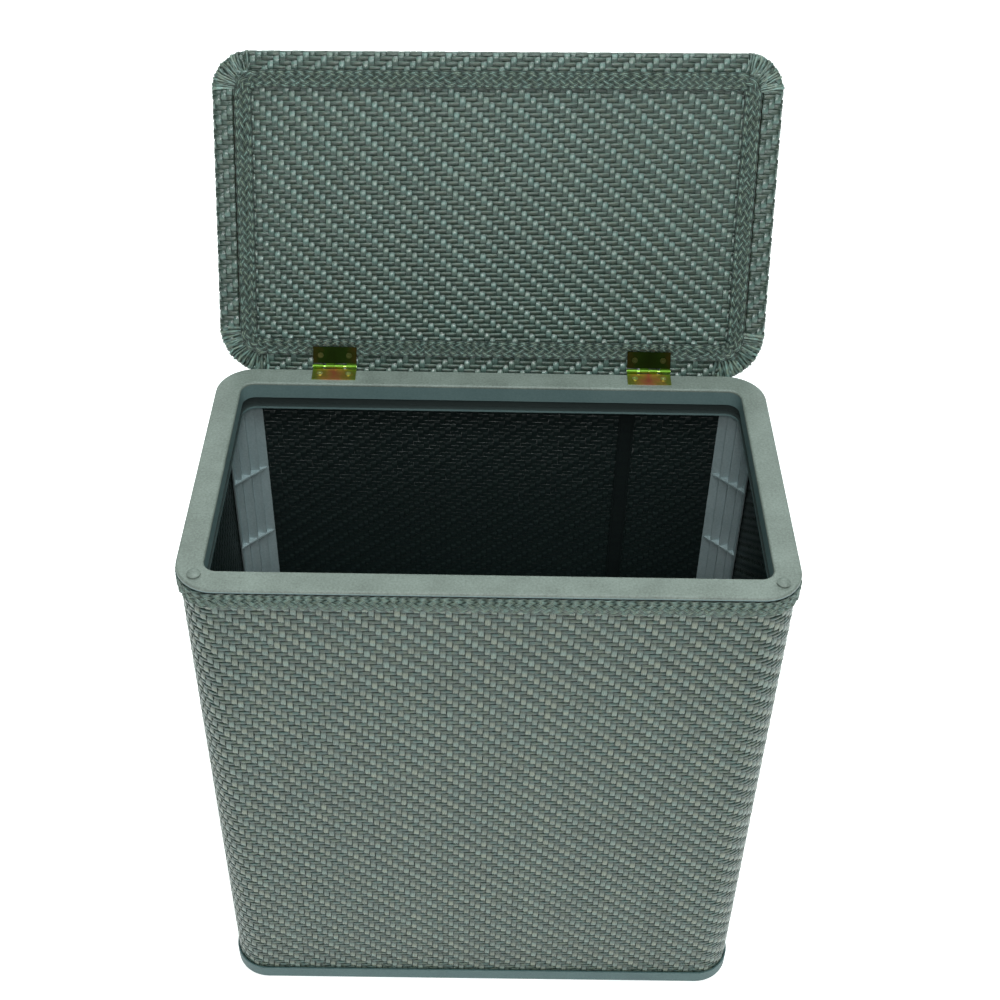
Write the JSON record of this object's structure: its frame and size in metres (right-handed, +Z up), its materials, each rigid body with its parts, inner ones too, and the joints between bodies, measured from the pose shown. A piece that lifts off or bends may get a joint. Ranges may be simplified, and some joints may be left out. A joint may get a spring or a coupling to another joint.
{
  "type": "laundry hamper",
  "caption": "Tall woven laundry hamper with a moulded rim and base, ribbed corner posts inside, and a woven lid on two butt hinges.",
  "frame": {"origin": "centre of the base tray's underside, on the floor", "axes": "+X to the right, +Y to the back, +Z up; the front faces -Y"},
  "size_m": [0.503, 0.4238, 0.8086],
  "materials": {
    "rim_plastic": "matt grey moulded plastic with a fine texture",
    "base_plastic": "matt grey moulded plastic",
    "post_plastic": "light grey moulded plastic",
    "woven_fibre": "grey flat fibre strands, twill woven, rigid like wickerwork",
    "braid": "grey plaited fibre",
    "seam_tape": "dark woven tape",
    "hinge_steel": "steel with a yellow passivated zinc plating that shows green, gold and pink",
    "screw_steel": "zinc-plated steel",
    "board": "plain fibreboard"
  },
  "bodies": {
    "hamper": {"rim_frame": "rim_plastic", "base_tray": "base_plastic", "corner_post_front_left": "post_plastic", "corner_post_front_right": "post_plastic", "corner_post_rear_left": "post_plastic", "corner_post_rear_right": "post_plastic", "woven_wall": "woven_fibre", "wall_seam_strip": "seam_tape", "rim_braid": "braid", "lid_rest_bumpers": "rim_plastic", "post_top_screws": "screw_steel", "post_base_screws": "screw_steel", "left_rim_leaf": "hinge_steel", "right_rim_leaf": "hinge_steel", "left_hinge_pin": "hinge_steel", "right_hinge_pin": "hinge_steel", "rim_leaf_screws": "hinge_steel"},
    "lid": {"lid_board": "board", "lid_cover": "woven_fibre", "lid_lining": "woven_fibre", "lid_braid": "braid", "left_lid_leaf": "hinge_steel", "right_lid_leaf": "hinge_steel", "lid_leaf_screws": "hinge_steel"}
  },
  "joints": [
    {"name": "lid_hinge", "type": "hinge", "parent": "hamper", "child": "lid", "pos_m": [0, 0.148, 0.5521], "axis": [1, 0, 0], "range_deg": [0, 113.5]}
  ]
}
